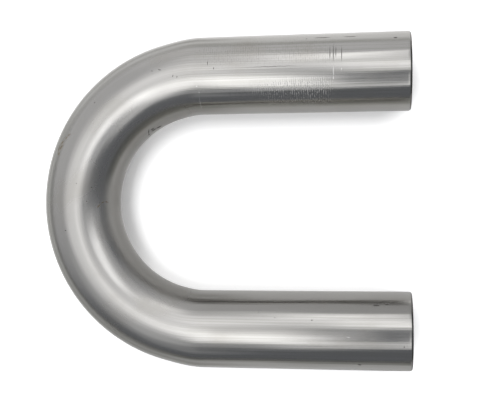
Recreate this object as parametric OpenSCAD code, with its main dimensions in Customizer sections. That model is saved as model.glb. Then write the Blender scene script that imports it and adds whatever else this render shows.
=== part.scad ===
// Return bend: one length of thin-wall round steel tube, bent over a mandrel
// through a half turn, so that its two open legs run side by side.
// It lies flat. X runs along the legs to the open ends, Y across them, Z is up.
// All sizes are in millimetres, and the origin is under the middle of the part.

/* [Tube] */
// Outside diameter of the tube
tube_od = 76.2; // [50:0.1:110]
// Thickness of the tube's wall
wall = 1.65; // [1.2:0.05:3]

/* [Bend] */
// Radius of the bend, at the middle of the tube
bend_radius = 125; // [85:1:250]

/* [Legs] */
// Straight length of the leg on the +Y side
left_leg = 202; // [20:1:500]
// Straight length of the leg on the -Y side
right_leg = 202; // [20:1:500]

/* [Cut ends] */
// Length along the tube of the bevel filed on the outside of a cut end
outer_bevel_length = 1.6; // [0.2:0.1:3]
// Depth into the wall of the bevel filed on the outside of a cut end
outer_bevel_depth = 0.7; // [0.1:0.05:0.7]
// Size of the burr-free bevel on the inside of a cut end
inner_bevel = 0.3; // [0.1:0.05:0.4]

/* [Hidden] */
// Facets to a full circle in a drawn view
$fn = 180;
half_turn = 180;
quarter_turn = 90;
outer_radius = tube_od / 2;
bore_radius = outer_radius - wall;
// The longer leg sets how far the part reaches to +X
longer_leg = max(left_leg, right_leg);
// Where the bend's own centre stands, so that the part's box is centred on X
bend_centre_x = (bend_radius + outer_radius - longer_leg) / 2;

// Ring of metal that the tube shows when it is cut square
module tube_section() {
    difference() {
        circle(r = outer_radius);
        circle(r = bore_radius);
    }
}

// The half turn, swept about Z from the left leg round to the right one
module half_round() {
    rotate([0, 0, quarter_turn])
        rotate_extrude(angle = half_turn)
            translate([bend_radius, 0])
                tube_section();
}

// A straight leg, turned from its wall profile: it starts square at the bend
// and ends in the cut rim, bevelled on the outside and on the inside
module straight_leg(leg_length) {
    rim_outer_radius = outer_radius - outer_bevel_depth;
    rim_bore_radius = bore_radius + inner_bevel;
    rotate([0, quarter_turn, 0])
        rotate_extrude()
            polygon([
                [bore_radius, 0],
                [outer_radius, 0],
                [outer_radius, leg_length - outer_bevel_length],
                [rim_outer_radius, leg_length],
                [rim_bore_radius, leg_length],
                [bore_radius, leg_length - inner_bevel]
            ]);
}

// The whole tube in one piece, lying on its side
module bent_tube() {
    color([0.66, 0.65, 0.64])
        translate([bend_centre_x, 0, outer_radius]) {
            half_round();
            translate([0, bend_radius, 0])
                straight_leg(left_leg);
            translate([0, -bend_radius, 0])
                straight_leg(right_leg);
        }
}

bent_tube();
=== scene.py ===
import math

import bpy
import numpy as np
from mathutils import Matrix, Vector


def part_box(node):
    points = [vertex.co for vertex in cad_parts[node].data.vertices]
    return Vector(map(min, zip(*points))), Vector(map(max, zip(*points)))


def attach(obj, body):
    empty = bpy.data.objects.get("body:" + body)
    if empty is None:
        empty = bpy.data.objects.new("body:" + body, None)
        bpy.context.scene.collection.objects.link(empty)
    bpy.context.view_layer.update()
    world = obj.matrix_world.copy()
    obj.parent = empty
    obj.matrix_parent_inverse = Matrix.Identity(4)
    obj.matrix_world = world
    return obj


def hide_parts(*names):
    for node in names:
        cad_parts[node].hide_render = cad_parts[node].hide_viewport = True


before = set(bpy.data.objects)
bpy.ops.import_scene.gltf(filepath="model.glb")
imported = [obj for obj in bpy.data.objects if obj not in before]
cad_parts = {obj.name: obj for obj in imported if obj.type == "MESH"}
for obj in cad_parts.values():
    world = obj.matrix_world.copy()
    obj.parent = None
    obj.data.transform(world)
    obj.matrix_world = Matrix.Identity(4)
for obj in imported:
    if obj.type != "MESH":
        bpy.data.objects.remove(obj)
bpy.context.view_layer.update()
scene = bpy.context.scene
scene.view_settings.view_transform = "Standard"

# Bent tube: one length of thin-wall steel tube in its mill finish, drawn round a bend die
# over a mandrel through a half turn, then cut square and deburred at both ends.
# It lies flat on the ground and nothing is fixed to it.
MM = 0.001
tube_low, tube_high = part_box("bent_tube")
tube_radius = (tube_high.z - tube_low.z) / 2
bend_radius = (tube_high.y - tube_low.y) / 2 - tube_radius
bend_centre_x = tube_low.x + tube_radius + bend_radius
leg_length = tube_high.x - bend_centre_x
bend_length = math.pi * bend_radius
tube_length = 2 * leg_length + bend_length
wall = 1.65 * MM
# Drawing the tube round the die stretches the outside of the bend: it is flatter and thinner
# there, and a little fuller and thicker on the inside
outside_flattening = 1.8 * MM
inside_fullness = 0.4 * MM
wall_change = 0.15
draw_in_length = 32 * MM
# The cut rims are filed to a soft bevel on the outside, as (distance from the end, depth),
# and scraped on the inside
filed_rim = [(2.1 * MM, 0), (1.9 * MM, 0.02 * MM), (1.7 * MM, 0.08 * MM), (1.45 * MM, 0.2 * MM),
             (0.9 * MM, 0.55 * MM), (0.35 * MM, 0.92 * MM), (0, 1.15 * MM)]
rim_scrape = 0.3 * MM


def smooth_step(value, start, end):
    t = np.clip((value - start) / (end - start), 0, 1)
    return t * t * (3 - 2 * t)


def centreline(along):
    """Place and outward direction at a distance along the tube, from the left leg's end."""
    turn = np.clip((along - leg_length) / bend_radius, 0, math.pi) + math.pi / 2
    outward = np.stack([np.cos(turn), np.sin(turn), 0 * turn], -1)
    past_tangent = np.minimum(along, leg_length) - leg_length
    past_tangent = past_tangent + np.maximum(along - leg_length - bend_length, 0)
    place = outward * bend_radius
    place[:, 0] += bend_centre_x + np.abs(past_tangent)
    place[:, 2] += tube_radius
    return place, outward


def share_of_bend(along):
    """0 on the straight legs, 1 well inside the bend."""
    into_bend = np.minimum(along - leg_length, leg_length + bend_length - along)
    return smooth_step(into_bend, 0, draw_in_length)


def outer_radius_at(along, around):
    """Radius of the outer skin. Around is 0 on top and a quarter turn at the outside."""
    bent = share_of_bend(along)
    outside = np.maximum(np.sin(around), 0) ** 2
    inside = np.maximum(-np.sin(around), 0) ** 2
    return tube_radius - bent * (outside_flattening * outside - inside_fullness * inside)


def wall_at(along, around):
    return wall * (1 - wall_change * share_of_bend(along) * np.sin(around))


def grip_dents(along, around):
    """Depth of the rows of fine dents that the bender's clamp pressed into the left leg."""
    chance = np.random.default_rng(7)
    dent_count = 150
    widths_reached = 4
    # Where the dents start, lie thickest and end: along in mm, and as turns from the top in degrees
    dent_places = (66, 90, 190)
    dent_turns = (-75, -36, -16)
    depth = np.zeros_like(along)
    for _ in range(dent_count):
        centre = chance.triangular(*dent_places) * MM
        turn = math.radians(chance.triangular(*dent_turns))
        width = chance.uniform(0.6, 1.0) * MM
        reach = math.radians(chance.uniform(3, 8))
        deep = chance.uniform(0.005, 0.02) * MM
        near = np.abs(along - centre) < widths_reached * width
        across = (along[near] - centre) / width
        around_it = (around[near] - turn) / reach
        depth[near] += deep * np.exp(-across ** 2 - around_it ** 2)
    return depth


def drawn_ripples(along, around):
    """Height of the shallow lengthwise ripples that the tube mill leaves in the skin."""
    chance = np.random.default_rng(11)
    ripple_sets = 12
    ripple_height = 0.3 * MM
    ripples_round = (8, 24)
    drift_lengths = (150, 600)
    smoothed_by_bending = 0.6
    height = np.zeros_like(along)
    for _ in range(ripple_sets):
        count = chance.integers(*ripples_round)
        drift = 2 * math.pi / (chance.uniform(*drift_lengths) * MM)
        start = chance.uniform(0, 2 * math.pi)
        height += ripple_height / count * np.cos(count * around + drift * along + start)
    return height * (1 - smoothed_by_bending * share_of_bend(along))


def ring_stations():
    """Distances along the tube, and depths below the outer skin as (fixed depth, share of wall)."""
    rim_start = filed_rim[0][0]
    grip_start, grip_end = 54 * MM, 206 * MM
    rings_before_grip, rings_in_grip, rings_after_grip, rings_inside = 26, 210, 280, 130
    outer = np.concatenate([
        np.linspace(rim_start, grip_start, rings_before_grip, endpoint=False),
        np.linspace(grip_start, grip_end, rings_in_grip, endpoint=False),
        np.linspace(grip_end, tube_length - rim_start, rings_after_grip)])
    inner = np.linspace(tube_length - rim_scrape, rim_scrape, rings_inside)
    far_rim = [(tube_length - back, depth, 0) for back, depth in filed_rim[1:]]
    near_rim = [(back, depth, 0) for back, depth in filed_rim[:0:-1]]
    stations = [(distance, 0, 0) for distance in outer] + far_rim + [(tube_length, -rim_scrape, 1)]
    stations += [(distance, 0, 1) for distance in inner] + [(0, -rim_scrape, 1)] + near_rim
    return np.array(stations)


def tube_mesh():
    """The skin as rings of points, from the left leg's end over the outside and back through the bore."""
    columns = 128
    stations = ring_stations()
    rings = len(stations)
    around = np.linspace(-math.pi, math.pi, columns, endpoint=False)
    along = np.repeat(stations[:, 0], columns)
    turn = np.tile(around, rings)
    share_of_wall = np.repeat(stations[:, 2], columns)
    depth = np.repeat(stations[:, 1], columns) + share_of_wall * wall_at(along, turn)
    depth += (1 - share_of_wall) * (grip_dents(along, turn) - drawn_ripples(along, turn))
    radius = outer_radius_at(along, turn) - depth
    place, outward = centreline(along)
    up = np.array([0, 0, 1.0])
    skin = np.sin(turn)[:, None] * outward + np.cos(turn)[:, None] * up
    points = place + radius[:, None] * skin
    ring, column = np.meshgrid(np.arange(rings), np.arange(columns), indexing="ij")
    next_ring, next_column = (ring + 1) % rings, (column + 1) % columns
    corners = [(ring, column), (ring, next_column), (next_ring, next_column), (next_ring, column)]
    faces = np.stack([r * columns + c for r, c in corners], -1).reshape(-1, 4)
    mesh = bpy.data.meshes.new("bent_tube_skin")
    mesh.from_pydata(points.tolist(), [], faces.tolist())
    straight_radius = tube_radius - share_of_wall * wall
    straightened = np.stack([along, straight_radius * np.sin(turn), straight_radius * np.cos(turn)], -1)
    layer = mesh.attributes.new("straightened", "FLOAT_VECTOR", "POINT")
    layer.data.foreach_set("vector", straightened.astype(np.float32).ravel())
    mesh.shade_smooth()
    mesh.update()
    return mesh


class Finish:
    """A material built node by node. Each method adds nodes and gives their result."""

    def __init__(self, name):
        self.material = bpy.data.materials.new(name)
        self.material.use_nodes = True
        self.nodes = self.material.node_tree.nodes
        self.links = self.material.node_tree.links
        self.shader = self.nodes["Principled BSDF"]

    def feed(self, socket, value):
        if isinstance(value, bpy.types.NodeSocket):
            self.links.new(value, socket)
        else:
            socket.default_value = value

    def math(self, operation, first, second=0.0):
        step = self.nodes.new("ShaderNodeMath")
        step.operation = operation
        self.feed(step.inputs[0], first)
        self.feed(step.inputs[1], second)
        return step.outputs[0]

    def times(self, first, *others):
        for other in others:
            first = self.math("MULTIPLY", first, other)
        return first

    def plus(self, first, second):
        return self.math("ADD", first, second)

    def minus(self, first, second):
        return self.math("SUBTRACT", first, second)

    def most(self, first, second):
        return self.math("MAXIMUM", first, second)

    def least(self, first, second):
        return self.math("MINIMUM", first, second)

    def distance(self, first, second):
        """Length of the slope over two sides that stand square to each other."""
        return self.math("SQRT", self.plus(self.math("POWER", first, 2), self.math("POWER", second, 2)))

    def split(self, place):
        """The three parts of a place or direction."""
        step = self.nodes.new("ShaderNodeSeparateXYZ")
        self.feed(step.inputs[0], place)
        return step.outputs

    def ramp(self, value, start, end, low=0.0, high=1.0, shape="SMOOTHSTEP"):
        step = self.nodes.new("ShaderNodeMapRange")
        step.interpolation_type = shape
        for socket, number in zip(step.inputs, (value, start, end, low, high)):
            self.feed(socket, number)
        return step.outputs["Result"]

    def grain(self, place, per_metre, detail):
        """Noise with so many cells to a metre along, across and up."""
        fit = self.nodes.new("ShaderNodeMapping")
        self.feed(fit.inputs["Vector"], place)
        self.feed(fit.inputs["Scale"], per_metre)
        noise = self.nodes.new("ShaderNodeTexNoise")
        self.feed(noise.inputs["Vector"], fit.outputs["Vector"])
        self.feed(noise.inputs["Scale"], 1)
        self.feed(noise.inputs["Detail"], detail)
        return noise.outputs["Fac"]

    def from_mark(self, flat, centre, size, slant):
        """How far a place is from a mark's centre: 1 at the edge of its oval."""
        fit = self.nodes.new("ShaderNodeMapping")
        fit.vector_type = "TEXTURE"
        self.feed(fit.inputs["Vector"], flat)
        self.feed(fit.inputs["Location"], (*centre, 0))
        self.feed(fit.inputs["Rotation"], (0, 0, slant))
        self.feed(fit.inputs["Scale"], (size[0] / 2, size[1] / 2, 1))
        reach = self.nodes.new("ShaderNodeVectorMath")
        reach.operation = "LENGTH"
        self.feed(reach.inputs[0], fit.outputs["Vector"])
        return reach.outputs["Value"]

    def blend(self, share, first, second):
        mix = self.nodes.new("ShaderNodeMix")
        mix.data_type = "RGBA"
        self.feed(mix.inputs["Factor"], share)
        self.feed(mix.inputs["A"], first)
        self.feed(mix.inputs["B"], second)
        return mix.outputs["Result"]


# Marks on the skin. Each is (distance along in mm, turn from the top in degrees, length in mm,
# width in mm, slant in degrees); the turn is positive towards the outside of the bend
dark_marks = [
    (83, 53, 17, 1.6, 0), (57, 53.5, 14, 1.5, 0), (98, 51, 2, 1.2, 0), (15, 47, 4, 2.4, 6),
    (75.5, 22, 0.7, 16, 0), (72.3, 22, 0.8, 20, 0), (64.6, 20, 0.7, 18, 0), (128, 3.5, 58, 0.5, 0),
    (185, 3, 0.9, 2.6, 8), (191, 11, 0.7, 5, 0), (225, -3, 0.8, 2.6, 25), (221, -5, 0.7, 2.4, 20),
    (236, 11, 3.4, 1.0, 25), (243, 13, 2.4, 0.8, 25), (302, 24, 1.6, 0.9, 0), (378, -7, 0.9, 1.6, 30),
    (380, -30, 1.6, 1.6, 0), (396, -24, 2.2, 1.4, 40), (423, 12, 1.2, 2.4, 20), (652, -33, 1.2, 1, 0),
    (668, -25, 1.2, 1, 0), (703, -22, 1.6, 1.2, 0), (788, 14, 1.4, 1.4, 0), (747, 48, 4, 2.4, 20),
    (763, -47, 7, 2.2, 0), (773, -49, 6, 2, 0), (283.5, -75, 14, 1.5, -53), (286, -82, 4, 2.4, 10),
    (276.5, -73.5, 6, 2.6, 0), (276, -78.6, 9, 3.4, 3), (268, -80.5, 9, 3.8, 8), (70, 24, 0.7, 14, 0)]
pale_marks = [
    (72.3, -6, 1.2, 11, 0), (72.3, -14, 1.0, 5, 0), (64.8, -4, 0.8, 5, 0), (202, -22, 1.4, 1.6, 0),
    (200, -31, 1.4, 1.8, 0), (200.5, -50, 0.9, 22, 0), (737, 1, 4, 1.0, 10), (760, 3, 6, 1.2, 0),
    (558, -42, 5, 1.2, 0)]
rust_marks = [
    (338, 30.5, 5, 2.4, 36), (341.5, 33.5, 6, 2.6, 36), (346, 38, 8, 3.2, 36), (351.5, 41.3, 9, 3.4, 0),
    (350, 36.5, 10, 5, 20), (356, 37, 5, 4, -30), (401.5, -41.6, 8, 2.2, 37), (397.2, -48.4, 6, 2.2, 61),
    (396.6, -55.5, 6, 2.4, -75)]


class TubeSkin(Finish):
    """A finish that knows how far a place lies along and around the straightened tube."""

    def __init__(self, name):
        super().__init__(name)
        measured = self.nodes.new("ShaderNodeAttribute")
        measured.attribute_name = "straightened"
        self.place = measured.outputs["Vector"]
        self.along, outward, self.upward = self.split(self.place)
        self.around = self.times(self.math("ARCTAN2", outward, self.upward), tube_radius)
        self.from_axis = self.distance(outward, self.upward)

    def marked(self, marks, waver, full):
        """1 inside any of the marks, whose edges waver, and 0 outside them all."""
        mark_edge = 1.15
        join = self.nodes.new("ShaderNodeCombineXYZ")
        self.feed(join.inputs[0], self.along)
        self.feed(join.inputs[1], self.plus(self.around, waver))
        found = 0.0
        for along, turn, length, width, slant in marks:
            centre = (along * MM, math.radians(turn) * tube_radius)
            size = (length * MM, width * MM)
            reach = self.from_mark(join.outputs[0], centre, size, math.radians(slant))
            found = self.most(found, self.ramp(reach, mark_edge, full))
        return found

    def zone(self, stretch, turns):
        """1 in a patch of the skin and 0 far from it, along the tube in mm and round it in degrees.
        Each way is given as where the patch starts, is full, begins to fade and ends."""
        start, full, fading, end = [distance * MM for distance in stretch]
        lengthwise = self.times(self.ramp(self.along, start, full), self.ramp(self.along, end, fading))
        start, full, fading, end = [math.radians(turn) * tube_radius for turn in turns]
        crosswise = self.times(self.ramp(self.around, start, full), self.ramp(self.around, end, fading))
        return self.times(lengthwise, crosswise)


def mill_finish_steel():
    grey = (0.41, 0.403, 0.393, 1)
    drawn_grey = (0.37, 0.366, 0.35, 1)
    handled_grey = (0.4, 0.389, 0.37, 1)
    stained_grey = (0.35, 0.337, 0.313, 1)
    dull_grey = (0.24, 0.236, 0.227, 1)
    olive_grey = (0.235, 0.233, 0.21, 1)
    bore_grey = (0.36, 0.35, 0.335, 1)
    bright = (0.72, 0.71, 0.70, 1)
    near_black = (0.06, 0.055, 0.05, 1)
    rust = (0.155, 0.115, 0.06, 1)
    bend_fade = (-10 * MM, 40 * MM)
    lines_lost_in_bend = 0.7
    clamp_pitch = 2.1 * MM
    tooth_wander = 4
    mark_waver = 1.6 * MM
    dark_rim_start, dark_rim_full = 1.7 * MM, 1.2 * MM
    relief_depth = 0.06 * MM
    polished, hazy = 0.14, 0.2
    steel = TubeSkin("mill_finish_steel")

    # Grains that run through the whole skin
    drawn_lines = steel.grain(steel.place, (5, 800, 800), 3)
    haze = steel.grain(steel.place, (22, 30, 30), 4)
    satin = steel.grain(steel.place, (500, 700, 700), 2)
    chatter = steel.grain(steel.place, (900, 300, 300), 2)
    speckle = steel.grain(steel.place, (900, 700, 700), 3)
    wander = steel.grain(steel.place, (260, 260, 260), 2)

    # Where the skin is bent, squeezed on the inside of the bend, cut, or inside the bore
    to_far_tangent = steel.minus(leg_length + bend_length, steel.along)
    into_bend = steel.least(steel.minus(steel.along, leg_length), to_far_tangent)
    bent = steel.ramp(into_bend, *bend_fade)
    straight = steel.minus(1, steel.times(bent, lines_lost_in_bend))
    squeeze_start, squeeze_full = math.radians(-38) * tube_radius, math.radians(-58) * tube_radius
    squeezed = steel.times(bent, steel.ramp(steel.around, squeeze_start, squeeze_full))
    near_end = steel.least(steel.along, steel.minus(tube_length, steel.along))
    cut_edge = steel.ramp(near_end, dark_rim_start, dark_rim_full)
    in_bore = steel.ramp(steel.from_axis, tube_radius - 0.4 * wall, tube_radius - 0.6 * wall)
    on_side = steel.ramp(steel.upward, 0.8 * tube_radius, 0.5 * tube_radius)

    # Single marks, and the rows of ticks that the clamp's teeth left on the left leg
    waver = steel.times(steel.minus(wander, 0.5), mark_waver)
    dark = steel.marked(dark_marks, waver, full=0.5)
    pale = steel.times(steel.marked(pale_marks, waver, full=0.4), steel.ramp(chatter, 0.35, 0.55))
    rusty = steel.times(steel.marked(rust_marks, waver, full=0.1), steel.ramp(speckle, 0.4, 0.56, 0.3, 1))
    even_teeth = steel.times(steel.along, 2 * math.pi / clamp_pitch)
    tooth_turn = steel.plus(even_teeth, steel.times(wander, tooth_wander))
    teeth = steel.ramp(steel.math("SINE", tooth_turn), 0.1, 0.9)
    bitten = steel.times(teeth, steel.ramp(chatter, 0.42, 0.58))
    scored = steel.times(steel.zone((68, 84, 100, 170), (-8, -28, -32, -64)), bitten)
    combed = steel.times(steel.zone((62, 74, 195, 215), (2, 12, 46, 58)), bitten)

    # Broad bands, placed to bring the skin's tones near the photo's: painted shade along the left leg and
    # round the bend, painted highlights inside the bend, and darker bands on the other leg
    # Darker bands on the other leg's inner flank and along its crest
    dull_flank = steel.zone((535, 610, 810, 830), (-22, -36, -48, -58))
    dull_crest = steel.zone((575, 625, 705, 750), (3, -3, -7, -14))
    # Painted shade on the inner flank of the left leg and the bend's first part
    painted_shade_inside = steel.zone((-30, -10, 350, 385), (-45, -52, -58, -65))
    # Painted shade round the outside of the bend
    painted_shade_outside = steel.zone((300, 340, 555, 610), (36, 43, 49, 57))
    # Painted highlights on the inner flank of the bend
    painted_highlight_upper = steel.zone((235, 275, 340, 395), (-6, -13, -20, -30))
    painted_highlight_lower = steel.zone((412, 445, 488, 520), (-18, -23, -28, -35))

    # Colour, from the bare steel up: where each layer lies, how much it covers, and its colour
    bore_colour = steel.blend(steel.ramp(haze, 0.4, 0.65), bore_grey, stained_grey)
    layers = [
        (steel.times(steel.ramp(drawn_lines, 0.4, 0.62), straight), 1, drawn_grey),
        (on_side, 0.8, handled_grey),
        (steel.ramp(haze, 0.46, 0.76), 0.55, stained_grey),
        (dull_flank, 0.8, dull_grey),
        (dull_crest, 0.8, dull_grey),
        # Painted shade on the flanks of the left leg and the bend
        (painted_shade_inside, 0.75, olive_grey),
        (painted_shade_outside, 0.4, olive_grey),
        # Painted highlights inside the bend
        (painted_highlight_upper, 0.33, bright),
        (painted_highlight_lower, 0.33, bright),
        (combed, 0.12, near_black),
        (steel.most(pale, scored), 0.7, bright),
        # Marks and the filed rims at the cut ends are darkened to near black
        (steel.most(dark, cut_edge), 0.75, near_black),
        (rusty, 1, rust),
        (in_bore, 1, bore_colour)]
    colour = grey
    for where, cover, layer_colour in layers:
        colour = steel.blend(steel.times(where, cover), colour, layer_colour)
    steel.feed(steel.shader.inputs["Base Color"], colour)
    covered = steel.most(steel.times(rusty, 0.7), steel.times(in_bore, 0.63))
    steel.feed(steel.shader.inputs["Metallic"], steel.minus(1, covered))

    # Roughness that each place adds to the polish of the mill finish
    rough = steel.ramp(haze, 0.3, 0.7, polished, hazy)
    added_roughness = [
        (bent, 0.085), (squeezed, 0.1), (steel.most(dark, rusty), 0.3), (scored, 0.32), (in_bore, 0.35)]
    for where, amount in added_roughness:
        rough = steel.plus(rough, steel.times(where, amount))
    steel.feed(steel.shader.inputs["Roughness"], rough)

    # Relief, as shares of its depth: raised where positive and sunk where negative
    height = steel.times(drawn_lines, straight, 1.2)
    relief = [(steel.times(satin, bent), 0.35), (scored, -0.8), (combed, -0.2), (dark, -0.5)]
    for where, amount in relief:
        height = steel.plus(height, steel.times(where, amount))
    bump = steel.nodes.new("ShaderNodeBump")
    steel.feed(bump.inputs["Strength"], 1)
    steel.feed(bump.inputs["Distance"], relief_depth)
    steel.feed(bump.inputs["Height"], height)
    steel.feed(steel.shader.inputs["Normal"], bump.outputs["Normal"])
    return steel.material


bent_tube = bpy.data.objects.new("bent_tube_finished", tube_mesh())
scene.collection.objects.link(bent_tube)
bent_tube.data.materials.append(mill_finish_steel())
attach(bent_tube, "root")
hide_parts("bent_tube")

# Floor: a sheet of matt white paper laid on grey ground, with the tube lying loose on it.
# To the eye it is white, and dims beside the tube where the soft shadow falls, partly as painted
# shade in its glow. In the metal it is a painted reflection: brightest close by and on the left
# leg's side, and dimmer inside and round the bend.
floor_size = 12
white_paper = (0.9, 0.9, 0.9, 1)
grey_ground_and_painted_shade = (0.36, 0.36, 0.33, 1)
paper_fades, paper_ends = 0.15, 0.5
# The paper's own glow on top of the light that falls on it, where 1 is white, lowered near the
# tube as painted shade: beside the tube and as the metal mirrors it, along the left leg's inner
# side, and in the hollow of the bend. To the eye it is full white past the painted shadow's width, in mm
paper_glow = 0.42
left_leg_glow = 0.24
hollow_glow = 0.12
shadow_width = 30


def white_paper_on_grey():
    sheet = Finish("white_paper")
    sheet.feed(sheet.shader.inputs["Roughness"], 1)
    sheet.feed(sheet.shader.inputs["Specular IOR Level"], 0)
    sheet.feed(sheet.shader.inputs["Emission Color"], (1, 1, 1, 1))
    x, y, _ = sheet.split(sheet.nodes.new("ShaderNodeNewGeometry").outputs["Position"])
    past_bend = sheet.least(sheet.minus(x, bend_centre_x), 0)
    past_ends = sheet.most(sheet.minus(x, tube_high.x - tube_radius), 0)
    from_middle = sheet.distance(past_bend, y)
    from_tube = sheet.distance(sheet.minus(from_middle, bend_radius), past_ends)
    outside = sheet.ramp(from_middle, bend_radius - tube_radius, bend_radius + tube_radius)
    near = sheet.ramp(from_tube, paper_ends, paper_fades)

    def away(start, end, low=0.0, high=1.0, shape="SMOOTHSTEP"):
        """Changes from low to high between two distances from the tube's side, in mm."""
        return sheet.ramp(from_tube, tube_radius + start * MM, tube_radius + end * MM, low, high, shape)

    # What the eye sees: white, with a painted shadow beside the tube
    in_bend = sheet.ramp(x, bend_centre_x - 40 * MM, bend_centre_x - 100 * MM)
    by_legs = sheet.ramp(y, 60 * MM, -60 * MM, left_leg_glow, paper_glow)
    by_inside = sheet.ramp(in_bend, 0, 1, by_legs, hollow_glow)
    beside_tube = sheet.ramp(outside, 0, 1, by_inside, paper_glow)
    whiteness_with_painted_shadow = away(0, shadow_width, beside_tube, 1, "LINEAR")

    # What the metal mirrors, a painted reflection: the paper's glow close by and on the left leg's side,
    # and less of the paper a little way off, round the outside of the bend
    ray = sheet.nodes.new("ShaderNodeLightPath").outputs
    mirrored = sheet.most(ray["Is Glossy Ray"], ray["Is Transmission Ray"])
    bend_side = sheet.ramp(x, 40 * MM, -60 * MM, 0.1, 0.65)
    round_bend = sheet.times(outside, bend_side, away(170, 90), away(25, 85))
    kept = sheet.minus(1, sheet.times(mirrored, round_bend))
    near_or_left = sheet.most(near, sheet.ramp(y, 0.1, 0.4))
    open_side = sheet.times(outside, sheet.ramp(y, -0.2, 0), near_or_left)
    painted_reflection_glow = sheet.times(sheet.most(open_side, away(15, 0)), paper_glow, kept)

    # The white of the paper itself, which greys far off, and is greyed as painted shade in the lee of the
    # bend and as painted reflection round the bend
    inside = sheet.ramp(outside, 0.5, 0)
    painted_lee_shade = sheet.times(inside, sheet.ramp(x, 30 * MM, -60 * MM), away(12, 80, 0, 0.7))
    on_paper = sheet.times(sheet.minus(near, painted_lee_shade), kept)
    sheet.feed(sheet.shader.inputs["Base Color"], sheet.blend(on_paper, grey_ground_and_painted_shade, white_paper))
    seen = sheet.times(ray["Is Camera Ray"], whiteness_with_painted_shadow)
    sheet.feed(sheet.shader.inputs["Emission Strength"], sheet.most(seen, sheet.times(mirrored, painted_reflection_glow)))
    return sheet.material


half = floor_size / 2
floor_corners = [(-half, -half, 0), (half, -half, 0), (half, half, 0), (-half, half, 0)]
floor_sheet = bpy.data.meshes.new("paper_sheet")
floor_sheet.from_pydata(floor_corners, [], [(0, 1, 2, 3)])
floor = bpy.data.objects.new("floor", floor_sheet)
floor.data.materials.append(white_paper_on_grey())
scene.collection.objects.link(floor)

# Studio light: a room that is pale past the bend and on the left leg's side and dim elsewhere,
# with soft boxes hung level overhead that fade towards their edges. The gaps between them
# show in the metal as dark bands.
dim_room = (0.205, 0.214, 0.231)
# Paler sides of the room: the way they lie, their light, and the cosine at which it starts
pale_sides = [
    ((-0.81, 0.58, 0.25), (0.62, 0.612, 0.604), 0.17),
    ((0.15, 1, 0.05), (0.36, 0.355, 0.35), 0.6)]


def room_light():
    room = bpy.data.worlds.new("studio_room")
    room.use_nodes = True
    nodes, links = room.node_tree.nodes, room.node_tree.links
    way = nodes.new("ShaderNodeTexCoord").outputs["Generated"]
    shade = None
    for side, light, start in pale_sides:
        facing = nodes.new("ShaderNodeVectorMath")
        facing.operation = "DOT_PRODUCT"
        facing.inputs[1].default_value = Vector(side).normalized()
        links.new(way, facing.inputs[0])
        spread = nodes.new("ShaderNodeMapRange")
        spread.interpolation_type = "SMOOTHSTEP"
        spread.inputs["From Min"].default_value = start
        links.new(facing.outputs["Value"], spread.inputs["Value"])
        sum_up = nodes.new("ShaderNodeMix")
        sum_up.data_type = "RGBA"
        sum_up.blend_type = "ADD"
        sum_up.inputs["A"].default_value = (*dim_room, 1)
        sum_up.inputs["B"].default_value = (*light, 1)
        links.new(spread.outputs["Result"], sum_up.inputs["Factor"])
        if shade:
            links.new(shade, sum_up.inputs["A"])
        shade = sum_up.outputs["Result"]
    links.new(shade, nodes["Background"].inputs["Color"])
    return room


scene.world = room_light()
lamp_white = (1, 0.995, 0.985)


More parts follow.
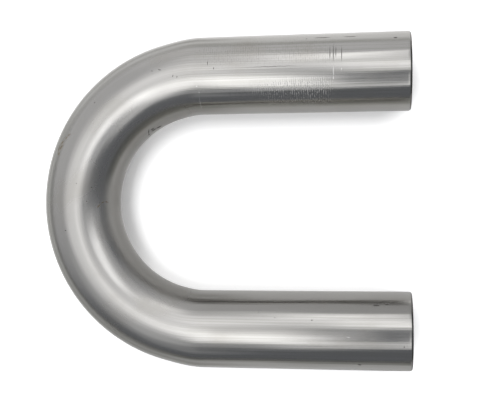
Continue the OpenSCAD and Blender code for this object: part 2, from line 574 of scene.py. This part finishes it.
def soft_box(name, x_range, y_range, height, brightness, fade):
    """A soft box between two X and two Y values, which fades over a share of its width to each edge."""
    lamp = bpy.data.lights.new(name, "AREA")
    lamp.shape = "RECTANGLE"
    lamp.size = x_range[1] - x_range[0]
    lamp.size_y = y_range[1] - y_range[0]
    lamp.energy = brightness * math.pi * lamp.size * lamp.size_y
    lamp.color = lamp_white
    lamp.use_nodes = True
    nodes, links = lamp.node_tree.nodes, lamp.node_tree.links
    split = nodes.new("ShaderNodeSeparateXYZ")
    links.new(nodes.new("ShaderNodeNewGeometry").outputs["Position"], split.inputs[0])
    glow = None
    for way, (low, high) in enumerate((x_range, y_range)):
        for edge, middle in ((low, high), (high, low)):
            rise = nodes.new("ShaderNodeMapRange")
            rise.interpolation_type = "SMOOTHSTEP"
            rise.inputs["From Min"].default_value = edge
            rise.inputs["From Max"].default_value = edge + fade * (middle - edge)
            links.new(split.outputs[way], rise.inputs["Value"])
            if glow:
                links.new(glow, rise.inputs["To Max"])
            glow = rise.outputs["Result"]
    links.new(glow, nodes["Emission"].inputs["Strength"])
    box = bpy.data.objects.new(name, lamp)
    box.location = (sum(x_range) / 2, sum(y_range) / 2, height)
    scene.collection.objects.link(box)


# The boxes' places, sizes and strengths come mostly from a fit to the photo's reflections, and
# some were then changed. Each has its own height: boxes in one plane hide each other
soft_box("back_box", (-0.71, 2.59), (-0.05, 1.71), 1.05, 0.41, 0.1)
soft_box("back_strip", (-0.45, 1.03), (0.24, 0.8), 1.02, 0.42, 0.12)
soft_box("left_box", (-1.2, 0.29), (-0.93, 0.8), 1.03, 0.94, 0.47)
soft_box("near_box", (-0.34, 0.14), (-0.86, 0.15), 0.97, 1.85, 0.37)
soft_box("front_box", (-1.59, -0.27), (-2.87, -0.24), 1.04, 0.22, 0.13)
soft_box("front_strip", (-0.17, 0.65), (-1.04, -0.52), 1.0, 0.71, 0.18)
soft_box("right_strip", (0.02, 0.86), (0.09, 0.54), 0.98, 0.8, 0.15)
soft_box("top_box", (-0.2, 0.35), (0.5, 1.6), 1.01, 1.3, 0.45)
soft_box("low_strip", (-0.92, 0.19), (-1.3, -0.65), 0.99, 0.28, 0.13)
soft_box("gap_strip", (0.2, 0.4), (-1.07, 0.19), 0.96, 1.0, 0.47)

# Camera: looks down on the tube from above its legs, tilted a little towards the bend.
# Its place, aim, roll and lens come from a fit to the tube's outline in the photo.
camera_place = Vector((0.14039, 0.00508, 0.90164))
camera_aim = Vector((0.01642, -0.00554, 0.0381))
camera_roll = math.radians(-0.394)
focal_length = 66.3
camera_data = bpy.data.cameras.new("camera")
camera_data.lens = focal_length
camera = bpy.data.objects.new("camera", camera_data)
back = (camera_place - camera_aim).normalized()
above = (Vector((0, 1, 0)) - back * back.y).normalized()
level = Matrix((above.cross(back), above, back)).transposed()
turned = level @ Matrix.Rotation(camera_roll, 3, "Z")
camera.matrix_world = Matrix.Translation(camera_place) @ turned.to_4x4()
scene.collection.objects.link(camera)
scene.camera = camera
